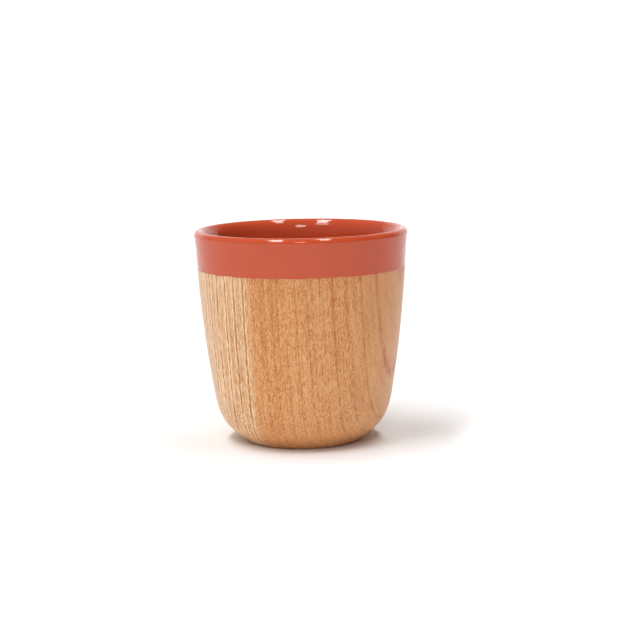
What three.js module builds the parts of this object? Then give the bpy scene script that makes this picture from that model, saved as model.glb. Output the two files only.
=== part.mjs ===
// A handle-less espresso cup turned from one block of hardwood.
// Red lacquer lines the inside, rounds the lip and stops below it in a band on the outside.
// A clear lacquer covers the bare wood from that band down to the foot.
// Millimetres, +Z up, origin at the middle of the foot's underside.

import * as THREE from 'three';

// The outside of the finished cup, from the foot up
const CUP_HEIGHT = 64.8;
const FOOT_DIAMETER = 34.6;
const FOOT_RISE_DEGREES = 36; // slope of the heel where it leaves the flat foot
const FOOT_PULL = 6.8; // how far the heel's curve is drawn along that slope
const HEEL_DIAMETER = 54.6; // where the rounded heel has become the wall
const HEEL_HEIGHT = 15.3;
const HEEL_LEAN_DEGREES = 9.7; // outward lean of the wall there
const HEEL_PULL = 9.8; // how far the heel's curve is drawn along the wall
const WALL_PULL = 18.3; // how far the wall keeps the heel's lean
const RIM_DIAMETER = 65;
const RIM_LEAN_DEGREES = 3.1; // outward lean of the wall under the lip
const RIM_PULL = 12; // how far down the wall keeps the rim's lean
const LIP_FLARE = 0.25; // how far the lip turns out beyond that lean
const LIP_FLARE_HEIGHT = 6;
const LIP_RADIUS = 1.5; // of the lip's outer rounding

// The inside
const INNER_LIP_DEPTH = 4.3; // the lip's inner rounding is longer and ends this far down
const INNER_LIP_PULL = 1.45; // how far that rounding is drawn along the top of the lip
const INNER_LIP_RISE = 2.3; // how far it is drawn up from the wall
const WALL_THICKNESS = 3.8;
const BOWL_HEIGHT = 19; // where the round bottom becomes the wall
const BOWL_PULL = 10;
const FLOOR_THICKNESS = 6;
const FLOOR_PULL = 17;

// The shallow hollow turned under the foot, so that the cup stands on a ring
const HOLLOW_DIAMETER = 23;
const HOLLOW_DEPTH = 0.8;
const HOLLOW_SLOPE = 1.2; // width of its sloping edge

// The lacquers
const BAND_DEPTH = 11.6; // from the rim down to the red lacquer's lower edge
const RED_THICKNESS = 0.2;
const CLEAR_THICKNESS = 0.1;
const CLEAR_EDGE_HEIGHT = 0.6; // the clear lacquer stops this far above the table
const FILM_CLEARANCE = 0.03; // between a film and the wood behind it

// How finely the curves are divided
const ROUND_STEPS = 48;
const HEEL_STEPS = 6;
const WALL_STEPS = 5;
const BAND_STEPS = 4;
const LIP_STEPS = 4; // on either side of the crest
const BOWL_STEPS = 7;
const HALVINGS = 40; // when a point is looked for on a curve

const RIM_RADIUS = RIM_DIAMETER / 2;
const FOOT_RADIUS = FOOT_DIAMETER / 2;
const HEEL_RADIUS = HEEL_DIAMETER / 2;
const LIP_CENTRE_HEIGHT = CUP_HEIGHT - LIP_RADIUS;
const BAND_HEIGHT = CUP_HEIGHT - BAND_DEPTH;

// Points below are (distance from the axis, height).
const point = (radius, height) => new THREE.Vector2(radius, height);

// A step of the given length along a slope that is measured up from the horizontal.
function along(degrees, length) {
  const angle = THREE.MathUtils.degToRad(degrees);
  return point(Math.cos(angle), Math.sin(angle)).multiplyScalar(length);
}

const footEdge = point(FOOT_RADIUS, 0);
const heelTop = point(HEEL_RADIUS, HEEL_HEIGHT);
const wallTop = point(RIM_RADIUS - LIP_FLARE, LIP_CENTRE_HEIGHT);
const heelSlope = 90 - HEEL_LEAN_DEGREES;
const rimSlope = 90 - RIM_LEAN_DEGREES;

const heelCurve = new THREE.CubicBezierCurve(
  footEdge,
  footEdge.clone().add(along(FOOT_RISE_DEGREES, FOOT_PULL)),
  heelTop.clone().sub(along(heelSlope, HEEL_PULL)),
  heelTop,
);
const wallCurve = new THREE.CubicBezierCurve(
  heelTop,
  heelTop.clone().add(along(heelSlope, WALL_PULL)),
  wallTop.clone().sub(along(rimSlope, RIM_PULL)),
  wallTop,
);

// How far along a rising curve a given height lies, found by halving.
function shareAtHeight(curve, height) {
  let low = 0;
  let high = 1;
  for (let i = 0; i < HALVINGS; i += 1) {
    const middle = (low + high) / 2;
    if (curve.getPoint(middle).y < height) low = middle;
    else high = middle;
  }
  return (low + high) / 2;
}

// Radius of the outside at a height on the heel or the wall, with the lip's flare added.
function outsideRadius(height) {
  const curve = height < HEEL_HEIGHT ? heelCurve : wallCurve;
  const flare = Math.max(0, 1 - (LIP_CENTRE_HEIGHT - height) / LIP_FLARE_HEIGHT);
  return curve.getPoint(shareAtHeight(curve, height)).x + LIP_FLARE * flare * flare;
}

// Radius of the inside, above the bowl's round bottom.
function insideRadius(height) {
  return outsideRadius(height) - WALL_THICKNESS;
}

// A run of points between two heights, both ends included, with the radius worked out at each.
function run(from, to, steps, radiusAt) {
  return Array.from({ length: steps + 1 }, (_, i) => {
    const height = THREE.MathUtils.lerp(from, to, i / steps);
    return point(radiusAt(height), height);
  });
}

// The finished surface in stretches that follow each other up, over the lip and down inside
const clearStart = shareAtHeight(heelCurve, CLEAR_EDGE_HEIGHT);
const heelStretch = Array.from({ length: HEEL_STEPS + 1 }, (_, i) => {
  const share = THREE.MathUtils.lerp(clearStart, 1, i / HEEL_STEPS);
  return heelCurve.getPoint(share);
});
const bareStretch = [
  ...heelStretch.slice(0, -1),
  ...run(HEEL_HEIGHT, BAND_HEIGHT, WALL_STEPS, outsideRadius),
];
const bandStretch = run(BAND_HEIGHT, LIP_CENTRE_HEIGHT, BAND_STEPS, outsideRadius);
const outerLipStretch = new THREE.EllipseCurve(
  RIM_RADIUS - LIP_RADIUS, LIP_CENTRE_HEIGHT, LIP_RADIUS, LIP_RADIUS, 0, Math.PI / 2,
).getPoints(LIP_STEPS);
const lipCrest = outerLipStretch.at(-1);
const insideStretch = run(
  CUP_HEIGHT - INNER_LIP_DEPTH, BOWL_HEIGHT, WALL_STEPS + BAND_STEPS, insideRadius,
);
const insideTop = insideStretch[0];
const insideRise = insideTop.clone().sub(insideStretch[1]).normalize();
const innerLipStretch = new THREE.CubicBezierCurve(
  lipCrest,
  lipCrest.clone().sub(point(INNER_LIP_PULL, 0)),
  insideTop.clone().addScaledVector(insideRise, INNER_LIP_RISE),
  insideTop,
).getPoints(LIP_STEPS);
const bowlTop = insideStretch.at(-1);
const bowlSlope = bowlTop.clone().sub(insideStretch.at(-2)).normalize();
const bowlStretch = new THREE.CubicBezierCurve(
  bowlTop,
  bowlTop.clone().addScaledVector(bowlSlope, BOWL_PULL),
  point(FLOOR_PULL, FLOOR_THICKNESS),
  point(0, FLOOR_THICKNESS),
).getPoints(BOWL_STEPS);
const redStretch = [
  ...bandStretch.slice(0, -1),
  ...outerLipStretch.slice(0, -1),
  ...innerLipStretch.slice(0, -1),
  ...insideStretch.slice(0, -1),
  ...bowlStretch,
];

// The same stretch moved into the wood, square to the surface at each point.
function sunk(stretch, depth) {
  return stretch.map((p, i) => {
    const before = stretch[Math.max(i - 1, 0)];
    const after = stretch[Math.min(i + 1, stretch.length - 1)];
    const direction = after.clone().sub(before).normalize();
    const moved = p.clone().add(point(-direction.y, direction.x).multiplyScalar(depth));
    if (p.x === 0) moved.x = 0;
    return moved;
  });
}

// A film keeps the clearance at its free edges too: an end point slides along the surface by that much.
function trimmed(stretch, ...ends) {
  const points = stretch.map((p) => p.clone());
  for (const end of ends) {
    const edge = points.at(end);
    const next = points.at(end === 0 ? 1 : -2);
    edge.lerp(next.clone(), FILM_CLEARANCE / edge.distanceTo(next));
  }
  return points;
}

// A solid turned about the Z axis from an outline that runs anticlockwise.
function turned(name, outline, material) {
  const geometry = new THREE.LatheGeometry(outline, ROUND_STEPS);
  geometry.rotateX(Math.PI / 2);
  const mesh = new THREE.Mesh(geometry, material);
  mesh.name = name;
  return mesh;
}

// One block of hardwood, end grain at the lip and the foot, rebated for the films that cover it.
function woodenBody() {
  const hollowRadius = HOLLOW_DIAMETER / 2;
  const outline = [
    point(0, HOLLOW_DEPTH),
    point(hollowRadius - HOLLOW_SLOPE, HOLLOW_DEPTH),
    point(hollowRadius, 0),
    footEdge,
    heelStretch[0],
    ...sunk(bareStretch, CLEAR_THICKNESS + FILM_CLEARANCE),
    ...sunk(redStretch, RED_THICKNESS + FILM_CLEARANCE),
  ];
  const material = new THREE.MeshStandardMaterial({ color: '#d09a62', roughness: 0.55, metalness: 0 });
  return turned('wooden_body', outline, material);
}

// The red film: the bowl, the lip and the outer band in one unbroken coat.
function redLacquerCoat() {
  const stretch = trimmed(redStretch, 0);
  const outline = [...sunk(stretch, RED_THICKNESS).reverse(), ...stretch];
  const material = new THREE.MeshStandardMaterial({ color: '#c2452c', roughness: 0.15, metalness: 0 });
  return turned('red_lacquer_coat', outline, material);
}

// The clear film on the bare wood, from just above the foot to the red band.
function clearLacquerCoat() {
  const stretch = trimmed(bareStretch, 0, -1);
  const outline = [...sunk(stretch, CLEAR_THICKNESS).reverse(), ...stretch];
  outline.push(outline[0].clone());
  const material = new THREE.MeshStandardMaterial({
    color: '#e8c79c', roughness: 0.35, metalness: 0, transparent: true, opacity: 0.25,
  });
  return turned('clear_lacquer_coat', outline, material);
}

const cup = new THREE.Group();
cup.add(woodenBody(), redLacquerCoat(), clearLacquerCoat());

export default cup;
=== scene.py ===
# A handle-less espresso cup turned from one block of hardwood, red lacquer over its upper part.
# The cup's sizes are in millimetres and become metres as its meshes are made; the studio is in metres.
import math

import bmesh
import bpy
import numpy as np
from mathutils import Matrix, Vector, noise
from mathutils.geometry import interpolate_bezier


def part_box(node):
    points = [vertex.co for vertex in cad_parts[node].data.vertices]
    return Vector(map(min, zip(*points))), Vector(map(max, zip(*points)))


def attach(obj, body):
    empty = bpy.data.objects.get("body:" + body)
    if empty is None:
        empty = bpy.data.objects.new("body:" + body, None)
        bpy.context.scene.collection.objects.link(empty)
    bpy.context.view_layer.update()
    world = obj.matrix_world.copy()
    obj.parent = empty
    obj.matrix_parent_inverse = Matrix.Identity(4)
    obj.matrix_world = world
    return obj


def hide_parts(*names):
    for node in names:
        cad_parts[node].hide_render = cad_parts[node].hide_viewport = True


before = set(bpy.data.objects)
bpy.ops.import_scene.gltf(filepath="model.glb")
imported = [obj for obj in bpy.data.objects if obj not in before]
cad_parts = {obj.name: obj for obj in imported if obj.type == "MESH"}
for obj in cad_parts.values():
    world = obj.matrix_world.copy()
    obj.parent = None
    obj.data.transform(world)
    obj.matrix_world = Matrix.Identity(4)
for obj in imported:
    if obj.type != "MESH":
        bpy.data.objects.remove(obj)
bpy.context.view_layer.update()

# The wooden body: one block of ring-porous hardwood, turned on a lathe with its grain upright.
# It is the whole cup, from the foot ring with its shallow hollow to the wood inside the lip.
# A thin clear lacquer closes the bare part, so the grain shows under a satin sheen.
MM = 0.001
film_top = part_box("red_lacquer_coat")[1] / MM
CUP_HEIGHT = film_top.z
RIM_RADIUS = film_top.x
BAND_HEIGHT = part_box("clear_lacquer_coat")[1].z / MM
# The outside, from the foot up. Slopes are in degrees from the horizontal, and a pull is how far a
# curve is drawn along the slope at its end.
FOOT_RADIUS = 17.3
FOOT_SLOPE = 36.0
FOOT_PULL = 6.8
FOOT_ROUNDING = 0.5
HEEL_RADIUS = 27.3
HEEL_HEIGHT = 15.3
HEEL_SLOPE = 80.3
HEEL_PULL = 9.8
WALL_PULL = 18.3
RIM_SLOPE = 86.9
RIM_PULL = 12.0
LIP_FLARE = 0.25
LIP_FLARE_HEIGHT = 6.0
LIP_RADIUS = 1.5
LIP_CENTRE = CUP_HEIGHT - LIP_RADIUS
# The inside, from the lip down to the round bottom, and the hollow under the foot.
INNER_LIP_DEPTH = 4.3
INNER_LIP_PULL = 1.45
INNER_LIP_RISE = 2.3
WALL_THICKNESS = 3.8
BOWL_HEIGHT = 19.0
BOWL_PULL = 10.0
FLOOR_HEIGHT = 6.0
FLOOR_PULL = 17.0
HOLLOW_RADIUS = 11.5
HOLLOW_DEPTH = 0.8
HOLLOW_SLOPE_WIDTH = 1.2
# The bare wood runs a little way up under the red film and then lies lower, as a bed for it.
FILM_OVERLAP = 0.35
FILM_BED = 0.25
# How finely curves are divided, how near two points are one, and the angle from which an edge is sharp.
CURVE_STEPS = 24
ROUND_STEPS = 180
FOOT_ROUNDING_STEPS = 4
SAME_PLACE = 0.001
WOOD_CREASE = 40


def place(radius, height):
    """A point of the half section, in the plane through the axis."""
    return Vector((radius, 0, height))


def along(degrees, length):
    """A step up a slope that is measured from the horizontal."""
    return place(math.cos(math.radians(degrees)), math.sin(math.radians(degrees))) * length


foot_edge = place(FOOT_RADIUS, 0)
heel_top = place(HEEL_RADIUS, HEEL_HEIGHT)
wall_top = place(RIM_RADIUS - LIP_FLARE, LIP_CENTRE)
heel_curve = interpolate_bezier(
    foot_edge,
    foot_edge + along(FOOT_SLOPE, FOOT_PULL),
    heel_top - along(HEEL_SLOPE, HEEL_PULL),
    heel_top,
    CURVE_STEPS,
)
wall_curve = interpolate_bezier(
    heel_top,
    heel_top + along(HEEL_SLOPE, WALL_PULL),
    wall_top - along(RIM_SLOPE, RIM_PULL),
    wall_top,
    CURVE_STEPS,
)
wall_radii = [p.x for p in wall_curve]
wall_heights = [p.z for p in wall_curve]


def outside(height):
    """Radius of the wall's outside at a height, with the lip's slight flare added."""
    flare = max(0, 1 - (LIP_CENTRE - height) / LIP_FLARE_HEIGHT)
    return np.interp(height, wall_heights, wall_radii) + LIP_FLARE * flare**2


def inside(height):
    """Radius of the inside at a height: the wall is equally thick all the way up."""
    return outside(height) - WALL_THICKNESS


band = [place(outside(z), z) for z in np.linspace(BAND_HEIGHT, LIP_CENTRE, CURVE_STEPS)]
outer_lip = [
    place(RIM_RADIUS - LIP_RADIUS + LIP_RADIUS * math.cos(a), LIP_CENTRE + LIP_RADIUS * math.sin(a))
    for a in np.linspace(0, math.pi / 2, CURVE_STEPS)
]
inner_wall = [
    place(inside(z), z) for z in np.linspace(CUP_HEIGHT - INNER_LIP_DEPTH, BOWL_HEIGHT, CURVE_STEPS)
]
inner_lip = interpolate_bezier(
    outer_lip[-1],
    outer_lip[-1] - place(INNER_LIP_PULL, 0),
    inner_wall[0] + (inner_wall[0] - inner_wall[1]).normalized() * INNER_LIP_RISE,
    inner_wall[0],
    CURVE_STEPS,
)
bowl = interpolate_bezier(
    inner_wall[-1],
    inner_wall[-1] + (inner_wall[-1] - inner_wall[-2]).normalized() * BOWL_PULL,
    place(FLOOR_PULL, FLOOR_HEIGHT),
    place(0, FLOOR_HEIGHT),
    CURVE_STEPS,
)
over_lip = outer_lip[:-1] + inner_lip[:-1] + inner_wall[:-1] + bowl


def sunk(line, depth):
    """The line moved into the wood, square to the surface at each of its points."""
    moved = []
    for i, here in enumerate(line):
        run = (line[min(i + 1, len(line) - 1)] - line[max(i - 1, 0)]).normalized()
        point = here + place(-run.z, run.x) * depth
        moved.append(place(point.x if here.x > SAME_PLACE else 0, point.z))
    return moved


def turned(line):
    """A bmesh of a line turned about the axis."""
    mesh = bmesh.new()
    points = [mesh.verts.new(p * MM) for p in line]
    for a, b in zip(points, points[1:]):
        mesh.edges.new((a, b))
    bmesh.ops.spin(
        mesh,
        geom=mesh.verts[:] + mesh.edges[:],
        cent=(0, 0, 0),
        axis=(0, 0, 1),
        angle=math.tau,
        steps=ROUND_STEPS,
        use_merge=True,
    )
    bmesh.ops.remove_doubles(mesh, verts=mesh.verts[:], dist=SAME_PLACE * MM)
    bmesh.ops.recalc_face_normals(mesh, faces=mesh.faces[:])
    return mesh


def finished(name, mesh, crease):
    """The object that a bmesh becomes, smooth but for edges sharper than a crease, in degrees."""
    data = bpy.data.meshes.new(name)
    mesh.to_mesh(data)
    mesh.free()
    data.polygons.foreach_set("use_smooth", [True] * len(data.polygons))
    data.set_sharp_from_angle(angle=math.radians(crease))
    piece = bpy.data.objects.new(name, data)
    bpy.context.scene.collection.objects.link(piece)
    return piece


hollow = [
    place(0, HOLLOW_DEPTH),
    place(HOLLOW_RADIUS - HOLLOW_SLOPE_WIDTH, HOLLOW_DEPTH),
    place(HOLLOW_RADIUS, 0),
]
film_bed = BAND_HEIGHT + FILM_OVERLAP
bare_wall = [p for p in wall_curve[1:] if p.z < BAND_HEIGHT]
bare = heel_curve + bare_wall + [place(outside(film_bed), film_bed)]
bedded = sunk([p for p in band if p.z > film_bed] + over_lip, FILM_BED)
body_mesh = turned(hollow + bare + bedded)
# The inner and the outer edge of the flat foot ring are rounded.
foot_ring = [
    edge
    for edge in body_mesh.edges
    if abs(edge.verts[0].co.z) + abs(edge.verts[1].co.z) < SAME_PLACE * MM
    and abs(edge.verts[0].co.xy.length - edge.verts[1].co.xy.length) < SAME_PLACE * MM
]
bmesh.ops.bevel(
    body_mesh,
    geom=foot_ring,
    offset=FOOT_ROUNDING * MM,
    affect="EDGES",
    segments=FOOT_ROUNDING_STEPS,
    profile=0.5,
    material=-1,
)
wooden_body = finished("wooden_body_turned", body_mesh, WOOD_CREASE)


def linear(code):
    """The linear colour of an sRGB hex code."""
    parts = [int(code[i : i + 2], 16) / 255 for i in (1, 3, 5)]
    return [c / 12.92 if c <= 0.04045 else ((c + 0.055) / 1.055) ** 2.4 for c in parts] + [1]


def add_node(tree, kind, inputs, **settings):
    """Adds a node, sets it and feeds it: a node or an output is linked, anything else is a value."""
    node = tree.nodes.new(kind)
    for name, value in settings.items():
        setattr(node, name, value)
    for socket, source in inputs.items():
        source = source.outputs[0] if isinstance(source, bpy.types.Node) else source
        if isinstance(source, bpy.types.NodeSocket):
            tree.links.new(source, node.inputs[socket])
        else:
            node.inputs[socket].default_value = source
    return node


def new_material(name):
    """An empty node material and its tree."""
    material = bpy.data.materials.new(name)
    material.use_nodes = True
    material.node_tree.nodes.clear()
    return material, material.node_tree


# Zelkova under clear lacquer: pale sapwood with dark ring lines on the left, orange heartwood with fine
# upright flecks on the right, where the rings hardly show. The rings are nearly flat, upright sheets.
# The thin lacquer all but fills the pores and gives a soft satin sheen.
# Depth below is measured across the rings, from the cup's axis towards the right of the front.
RING_TURN = math.radians(20)  # of the ring sheets, about the cup's axis
RING_WIDTH = 3.25
RING_START = 28.4  # depth of the ring line that the others are spaced from
RING_LINE_WIDTH = 0.9
RING_EDGE_WIDTH = 1.1  # reach of the light edge beside a line, from the line's middle
FAINT_LINE = 0.4  # strength of a line where it is faintest
CLOSED_PORE = 0.42  # strength of a line between its pores
OUTER_RING = (25.5, 27.8)  # depths over which a line grows stronger
OUTER_RING_STRENGTH = 3.2  # added to its strength there, at the foot
CALM_WOOD = (21.0, 29.0)  # depths over which the figure grows calm
CALM_FIGURE = 0.3  # share of the figure that is left there
HEARTWOOD_EDGE = -5.5  # depth where the sapwood ends
HEARTWOOD_BLEND = 0.9
SAPWOOD_FADE = 8.0  # width over which the sapwood darkens towards that edge
DARK_RING = 0.5  # depth of the heartwood's one dark ring
DARK_RING_FADE = 6.0  # distance at which it has faded out
MIDDLE_TONE = 0.51  # from a wood's darkest colour, 0, to its lightest, 1
PORE_DEPTH = 0.04
PORE_RELIEF = 0.05  # share of that depth left open by the lacquer
PORE_ROUGHNESS = 0.6
FIBRE_ROUGHNESS = 0.45
BLEED_DEPTH = 1.5
BLEED_COLOUR = "#9C4520"
LACQUER_IOR = 1.5
COAT_WEIGHT = 0.4
COAT_ROUGHNESS = 0.3
# A noise keeps mostly between these two values, and each noise is moved to a place of its own.
NOISE_LOW = 0.35
NOISE_HIGH = 0.65
NOISE_STEP = 7.3
# Sizes across the rings, along them and up the trunk, and the noise's detail. The fibres and flecks are
# drawn two or three times as wide as real ones, which would be too fine to show.
GRAIN_SIZES = {
    "drift": (22, 22, 70, 1),
    "wiggle": (2, 2, 5, 1),
    "strength": (1.5, 1.5, 30, 1),
    "cloud": (4, 4, 60, 1),
    "fibre": (0.24, 0.24, 60, 0),
    "fleck": (0.18, 0.18, 0.7, 0),
    "streak": (0.4, 5, 60, 1),
}
RING_SWAY = {"drift": 0.5, "wiggle": 0.5}
# The darkest and lightest colour of each wood, and how far each pattern moves its tone: up is lighter.
# Sapwood darkens inward and has a light edge beside each line. Heartwood is painted lighter low on the
# cup: painted light, standing in for light thrown up by the paper.
WOODS = {
    "sapwood": (
        "#B66E12",
        "#FED6A9",
        {
            "streak": 0.9,
            "fibre": 1.1,
            "fleck": 0.7,
            "cloud": 0.2,
            "inward": -0.1,
            "edge": 0.32,
            "line": -2.1,
        },
    ),
    "heartwood": (
        "#BD6603",
        "#E9AD70",
        {
            "streak": 1.2,
            "fibre": 1.2,
            "fleck": 1.8,
            "cloud": 0.12,
            # painted light: lifts the heartwood's tone low on the cup, for light thrown up by the paper
            "low": 0.22,
            "line": -0.45,
            "dark_ring": -0.17,
        },
    ),
}
zelkova, wood = new_material("clear_lacquered_zelkova")
spot = add_node(wood, "ShaderNodeTexCoord", {})
grain = add_node(
    wood,
    "ShaderNodeMapping",
    {"Vector": spot.outputs["Object"], "Rotation": (0, 0, RING_TURN), "Scale": (1 / MM,) * 3},
)
pattern = {}
for seed, (name, (*sizes, detail)) in enumerate(GRAIN_SIZES.items()):
    drawn_out = add_node(
        wood,
        "ShaderNodeMapping",
        {"Vector": grain, "Scale": [1 / size for size in sizes], "Location": (seed * NOISE_STEP,) * 3},
    )
    pattern[name] = add_node(
        wood, "ShaderNodeTexNoise", {"Vector": drawn_out, "Scale": 1.0, "Detail": detail}
    )

# The ring sheets sway a little, and each pattern below is 0 where it leaves the wood as it is.
split = add_node(wood, "ShaderNodeSeparateXYZ", {0: grain})
depth = split.outputs["X"]
for name, sway in RING_SWAY.items():
    bent = add_node(
        wood, "ShaderNodeMath", {0: pattern[name], 1: sway, 2: -sway / 2}, operation="MULTIPLY_ADD"
    )
    depth = add_node(wood, "ShaderNodeMath", {0: depth, 1: bent}, operation="ADD")
from_ring = add_node(wood, "ShaderNodeMath", {0: depth, 1: RING_START}, operation="SUBTRACT")
off_ring = add_node(wood, "ShaderNodeMath", {0: from_ring, 1: RING_WIDTH / 2}, operation="PINGPONG")
ring_line = add_node(
    wood,
    "ShaderNodeMapRange",
    {"Value": off_ring, "From Min": RING_LINE_WIDTH / 2, "From Max": 0.0},
    interpolation_type="SMOOTHSTEP",
)
pattern["edge"] = add_node(
    wood,
    "ShaderNodeMapRange",
    {"Value": off_ring, "From Min": RING_EDGE_WIDTH, "From Max": RING_LINE_WIDTH / 2},
    interpolation_type="SMOOTHSTEP",
)
pattern["inward"] = add_node(
    wood,
    "ShaderNodeMapRange",
    {"Value": depth, "From Min": HEARTWOOD_EDGE - SAPWOOD_FADE, "From Max": HEARTWOOD_EDGE},
)
# 0 at the band, 1 at the foot. It strengthens the outermost ring line low down, and in the heartwood it
# is painted light from the paper below.
pattern["low"] = add_node(
    wood, "ShaderNodeMapRange", {"Value": split.outputs["Z"], "From Min": BAND_HEIGHT, "From Max": 0.0}
)
from_dark = add_node(wood, "ShaderNodeMath", {0: depth, 1: DARK_RING}, operation="SUBTRACT")
off_dark = add_node(wood, "ShaderNodeMath", {0: from_dark}, operation="ABSOLUTE")
pattern["dark_ring"] = add_node(
    wood,
    "ShaderNodeMapRange",
    {"Value": off_dark, "From Min": DARK_RING_FADE, "From Max": 0.0},
    interpolation_type="SMOOTHSTEP",
)

# A ring line is a row of open pores, strong and faint by turns, and strongest low on the outermost ring.
stretch_strength = add_node(
    wood,
    "ShaderNodeMapRange",
    {"Value": pattern["strength"], "From Min": NOISE_LOW, "From Max": NOISE_HIGH, "To Min": FAINT_LINE},
)
pore_strength = add_node(
    wood,
    "ShaderNodeMapRange",
    {"Value": pattern["fibre"], "From Min": NOISE_HIGH, "From Max": NOISE_LOW, "To Min": CLOSED_PORE},
)
outer_ring = add_node(
    wood,
    "ShaderNodeMapRange",
    {
        "Value": depth,
        "From Min": OUTER_RING[0],
        "From Max": OUTER_RING[1],
        "To Min": 0.0,
        "To Max": OUTER_RING_STRENGTH,
    },
)
ring_strength = add_node(
    wood, "ShaderNodeMath", {0: outer_ring, 1: pattern["low"], 2: 1.0}, operation="MULTIPLY_ADD"
)
pattern["line"] = ring_line
for strength in (stretch_strength, pore_strength, ring_strength):
    pattern["line"] = add_node(
        wood, "ShaderNodeMath", {0: pattern["line"], 1: strength}, operation="MULTIPLY"
    )

# Towards the outermost ring the figure grows calm. A Mix node's sockets share their names, so they go
# by number: 0 is the share, 2 and 3 are numbers to mix, 6 and 7 colours, and output 2 is the colour.
figure_share = add_node(
    wood,
    "ShaderNodeMapRange",
    {
        "Value": depth,
        "From Min": CALM_WOOD[0],
        "From Max": CALM_WOOD[1],
        "To Min": 1.0,
        "To Max": CALM_FIGURE,
    },
)
for name in ("streak", "fibre", "fleck"):
    pattern[name] = add_node(
        wood, "ShaderNodeMix", {0: figure_share, 2: (NOISE_LOW + NOISE_HIGH) / 2, 3: pattern[name]}
    )

# A noise is a half on average, so half of the noises' weights is taken off the middle tone first.
tone_colour = {}
for name, (dark, light, weights) in WOODS.items():
    tone = MIDDLE_TONE - sum(weights[key] for key in weights if key in GRAIN_SIZES) / 2
    for key, weight in weights.items():
        tone = add_node(
            wood, "ShaderNodeMath", {0: pattern[key], 1: weight, 2: tone}, operation="MULTIPLY_ADD"
        )
    tone_colour[name] = add_node(
        wood, "ShaderNodeMix", {0: tone, 6: linear(dark), 7: linear(light)}, data_type="RGBA"
    )
heart = add_node(
    wood,
    "ShaderNodeMapRange",
    {
        "Value": depth,
        "From Min": HEARTWOOD_EDGE - HEARTWOOD_BLEND / 2,
        "From Max": HEARTWOOD_EDGE + HEARTWOOD_BLEND / 2,
    },
    interpolation_type="SMOOTHSTEP",
)
wood_colour = add_node(
    wood,
    "ShaderNodeMix",
    {0: heart, 6: tone_colour["sapwood"].outputs[2], 7: tone_colour["heartwood"].outputs[2]},
    data_type="RGBA",
)

# Just under the band, red lacquer has crept a little way down the open pores.
near_band = add_node(
    wood,
    "ShaderNodeMapRange",
    {"Value": split.outputs["Z"], "From Min": BAND_HEIGHT - BLEED_DEPTH, "From Max": BAND_HEIGHT},
)
bleed = add_node(wood, "ShaderNodeMath", {0: near_band, 1: pattern["line"]}, operation="MULTIPLY")
stained = add_node(
    wood,
    "ShaderNodeMix",
    {0: bleed, 6: wood_colour.outputs[2], 7: linear(BLEED_COLOUR)},
    data_type="RGBA",
)
relief = add_node(wood, "ShaderNodeMath", {0: pattern["fibre"], 1: pattern["fleck"]}, operation="ADD")
satin = add_node(
    wood,
    "ShaderNodeMapRange",
    {
        "Value": relief,
        "From Min": 2 * NOISE_LOW,
        "From Max": 2 * NOISE_HIGH,
        "To Min": PORE_ROUGHNESS,
        "To Max": FIBRE_ROUGHNESS,
    },
)
pores = add_node(
    wood, "ShaderNodeBump", {"Height": relief, "Strength": PORE_RELIEF, "Distance": PORE_DEPTH * MM}
)
wood_shader = add_node(
    wood,
    "ShaderNodeBsdfPrincipled",
    {
        "Base Color": stained.outputs[2],
        "Roughness": satin,
        "Normal": pores,
        "IOR": LACQUER_IOR,
        "Coat Weight": COAT_WEIGHT,
        "Coat Roughness": COAT_ROUGHNESS,
        "Coat IOR": LACQUER_IOR,
    },
)
add_node(wood, "ShaderNodeOutputMaterial", {"Surface": wood_shader})
wooden_body.data.materials.append(zelkova)
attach(wooden_body, "root")
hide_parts("wooden_body", "clear_lacquer_coat")

# The red lacquer coat: one glossy film over the bowl, the rounded lip and a band on the outside.
# It is brushed on over the wood and stops at a masked edge, where it stands a little proud and
# wanders by a hair's breadth.
FILM_THICKNESS = 0.2
EDGE_BEAD = 0.07
EDGE_BEAD_HEIGHT = 1.2
EDGE_WANDER = 0.16
EDGE_WAVE = 2.5
FILM_CREASE = 60
coat_mesh = turned(band[:-1] + over_lip)
# Towards its lower edge the band swells and wanders. The bowl's corners lie further in and stay.
for corner in coat_mesh.verts:
    share = 1 - (corner.co.z / MM - BAND_HEIGHT) / EDGE_BEAD_HEIGHT
    if share > 0 and corner.co.xy.length / MM > inside(BAND_HEIGHT) + LIP_RADIUS:
        proud = EDGE_BEAD * share**2 * (3 - 2 * share)
        wander = EDGE_WANDER * share * noise.noise(corner.co / (EDGE_WAVE * MM))
        corner.co += corner.co.xy.normalized().to_3d() * proud * MM + Vector((0, 0, wander * MM))
bmesh.ops.solidify(coat_mesh, geom=coat_mesh.faces[:], thickness=FILM_THICKNESS * MM)
bmesh.ops.recalc_face_normals(coat_mesh, faces=coat_mesh.faces[:])
red_coat = finished("red_lacquer_film", coat_mesh, FILM_CREASE)

# Red gloss lacquer: an even orange red, with mirror-like lights on the lip and a faint ripple
# from the brush where they lie.
DEEP_RED = "#C44A27"
LIGHT_RED = "#CC522D"
PIGMENT_SIZE = 6.0
RIPPLE_WIDTH = 3.0
RIPPLE_DEPTH = 0.01
RIPPLE_RELIEF = 0.06  # share of that depth left after the lacquer has flowed out
WET_ROUGHNESS = 0.03
WORN_ROUGHNESS = 0.07
lacquer, coat = new_material("red_gloss_lacquer")
spot = add_node(coat, "ShaderNodeTexCoord", {})
pigment = add_node(
    coat, "ShaderNodeTexNoise", {"Vector": spot.outputs["Object"], "Scale": 1 / (PIGMENT_SIZE * MM)}
)
red_colour = add_node(
    coat,
    "ShaderNodeMix",
    {0: pigment, 6: linear(DEEP_RED), 7: linear(LIGHT_RED)},
    data_type="RGBA",
)
ripple = add_node(
    coat, "ShaderNodeTexNoise", {"Vector": spot.outputs["Object"], "Scale": 1 / (RIPPLE_WIDTH * MM)}
)
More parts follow.
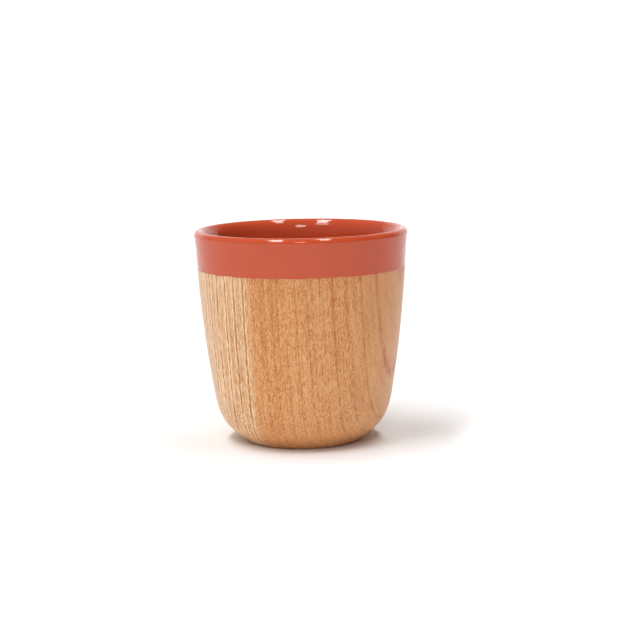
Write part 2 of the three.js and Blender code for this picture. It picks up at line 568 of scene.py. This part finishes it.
gloss = add_node(
    coat,
    "ShaderNodeMapRange",
    {
        "Value": pigment,
        "From Min": NOISE_LOW,
        "From Max": NOISE_HIGH,
        "To Min": WET_ROUGHNESS,
        "To Max": WORN_ROUGHNESS,
    },
)
brushed = add_node(
    coat, "ShaderNodeBump", {"Height": ripple, "Strength": RIPPLE_RELIEF, "Distance": RIPPLE_DEPTH * MM}
)
red_shader = add_node(
    coat,
    "ShaderNodeBsdfPrincipled",
    {"Base Color": red_colour.outputs[2], "Roughness": gloss, "Normal": brushed, "IOR": LACQUER_IOR},
)
add_node(coat, "ShaderNodeOutputMaterial", {"Surface": red_shader})
red_coat.data.materials.append(lacquer)
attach(red_coat, "root")
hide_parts("red_lacquer_coat")

# The ground: a sheet of matt white paper that runs on under the cup and curves up behind it. Its upper
# part, out of the picture, is painted darker as painted shade, so the lacquer mirrors it without an
# edge.
PAPER_WIDTH = 2.4
PAPER_FRONT = -1.0
PAPER_BACK = 0.7
PAPER_CURVE = 0.2
PAPER_TOP = 0.8
PAPER_GAP = 0.00005  # under the foot, so that the two faces don't coincide
PAPER_CREASE = 40
PAPER_WHITE = "#FAFAFA"
PAPER_SHADE = "#909090"
SHADE_START = 0.35
sweep = [
    Vector((-PAPER_WIDTH / 2, PAPER_BACK + PAPER_CURVE * math.sin(a), PAPER_CURVE * (1 - math.cos(a))))
    for a in np.linspace(0, math.pi / 2, CURVE_STEPS)
]
sweep = [Vector((-PAPER_WIDTH / 2, PAPER_FRONT, 0))] + sweep
sweep.append(Vector((-PAPER_WIDTH / 2, PAPER_BACK + PAPER_CURVE, PAPER_TOP)))
paper_mesh = bmesh.new()
edge_points = [paper_mesh.verts.new(p - Vector((0, 0, PAPER_GAP))) for p in sweep]
edge_lines = [paper_mesh.edges.new(pair) for pair in zip(edge_points, edge_points[1:])]
swept = bmesh.ops.extrude_edge_only(paper_mesh, edges=edge_lines)["geom"]
bmesh.ops.translate(
    paper_mesh,
    verts=[v for v in swept if isinstance(v, bmesh.types.BMVert)],
    vec=(PAPER_WIDTH, 0, 0),
)
ground = finished("paper_ground", paper_mesh, PAPER_CREASE)
paper, sheet = new_material("white_paper")
spot = add_node(sheet, "ShaderNodeTexCoord", {})
upward = add_node(sheet, "ShaderNodeSeparateXYZ", {0: spot.outputs["Object"]})
# painted shade: the paper's colour darkens from SHADE_START up to its top
shade = add_node(
    sheet,
    "ShaderNodeMapRange",
    {"Value": upward.outputs["Z"], "From Min": SHADE_START, "From Max": PAPER_TOP},
)
paper_colour = add_node(
    sheet,
    "ShaderNodeMix",
    {0: shade, 6: linear(PAPER_WHITE), 7: linear(PAPER_SHADE)},
    data_type="RGBA",
)
lit = add_node(sheet, "ShaderNodeBsdfDiffuse", {"Color": paper_colour.outputs[2]})
add_node(sheet, "ShaderNodeOutputMaterial", {"Surface": lit})
ground.data.materials.append(paper)

# The studio: a dim room above the paper, so that the lip shows its full red, darker on the right.
# Below the horizon it is as white as the paper, which ends about a metre away.
ROOM_LEFT = 0.4
ROOM_RIGHT = 0.06
HORIZON_LOW = -0.03
HORIZON_HIGH = 0.02
world = bpy.data.worlds.new("dim_studio")
bpy.context.scene.world = world
world.use_nodes = True
air = world.node_tree
air.nodes.clear()
way = add_node(air, "ShaderNodeTexCoord", {})
toward = add_node(air, "ShaderNodeSeparateXYZ", {0: way.outputs["Generated"]})
room = add_node(
    air,
    "ShaderNodeMapRange",
    {
        "Value": toward.outputs["X"],
        "From Min": -1.0,
        "From Max": 1.0,
        "To Min": ROOM_LEFT,
        "To Max": ROOM_RIGHT,
    },
)
level = add_node(
    air,
    "ShaderNodeMapRange",
    {
        "Value": toward.outputs["Z"],
        "From Min": HORIZON_LOW,
        "From Max": HORIZON_HIGH,
        "To Min": 1.0,
        "To Max": room,
    },
)
background = add_node(air, "ShaderNodeBackground", {"Color": linear("#FFFFFF"), "Strength": level})
add_node(air, "ShaderNodeOutputWorld", {"Surface": background})

# The lamps: two long ones overhead, which reach a little behind the cup, and two short ones in front.
# The glossy lip mirrors them, on its near side and on the inside of its far side.
# Each has the directions of its front and back ends, its width in degrees and its brightness.
LAMP_DISTANCE = 3.0
LAMPS = {
    "left_overhead_lamp": ((-0.33, -0.45, 0.83), (-0.20, 0.17, 0.96), 8.0, 16.5),
    "right_overhead_lamp": ((0.31, -0.42, 0.85), (0.12, 0.40, 0.91), 6.0, 11.5),
    "left_front_lamp": ((-0.40, -0.66, 0.63), (-0.34, -0.45, 0.83), 13.0, 5.5),
    "front_lamp": ((0.0, -0.87, 0.49), (0.0, -0.77, 0.64), 10.0, 10.5),
}
for name, (front, back, width, brightness) in LAMPS.items():
    front_end = Vector(front).normalized() * LAMP_DISTANCE
    back_end = Vector(back).normalized() * LAMP_DISTANCE
    middle = (front_end + back_end) / 2
    lamp = bpy.data.lights.new(name, "AREA")
    lamp.shape = "RECTANGLE"
    lamp.size = LAMP_DISTANCE * math.radians(width)
    lamp.size_y = (back_end - front_end).length
    lamp.energy = brightness * math.pi * lamp.size * lamp.size_y
    lengthways = (back_end - front_end).normalized()
    turn = Matrix((lengthways.cross(middle.normalized()), lengthways, middle.normalized())).transposed()
    holder = bpy.data.objects.new(name, lamp)
    holder.matrix_world = Matrix.Translation(middle + place(0, CUP_HEIGHT) * MM) @ turn.to_4x4()
    bpy.context.scene.collection.objects.link(holder)

# The camera: a long lens about 0.56 m in front of the cup, looking a little down on its rim.
# It is panned and rolled by less than a degree, as the photograph was taken.
CAMERA_PLACE = (0, -0.560, 0.1196)
CAMERA_LENS = 104.06  # in millimetres, as is the sensor
SENSOR_WIDTH = 36.0
CAMERA_PITCH = math.radians(8.447)
CAMERA_PAN = math.radians(-0.554)
CAMERA_ROLL = math.radians(-0.984)
lens = bpy.data.cameras.new("photo_camera")
lens.sensor_width = SENSOR_WIDTH
lens.lens = CAMERA_LENS
camera = bpy.data.objects.new("photo_camera", lens)
camera.matrix_world = (
    Matrix.Translation(CAMERA_PLACE)
    @ Matrix.Rotation(CAMERA_PAN, 4, "Z")
    @ Matrix.Rotation(math.pi / 2 - CAMERA_PITCH, 4, "X")
    @ Matrix.Rotation(CAMERA_ROLL, 4, "Z")
)
bpy.context.scene.collection.objects.link(camera)
bpy.context.scene.camera = camera
bpy.context.scene.view_settings.view_transform = "Standard"
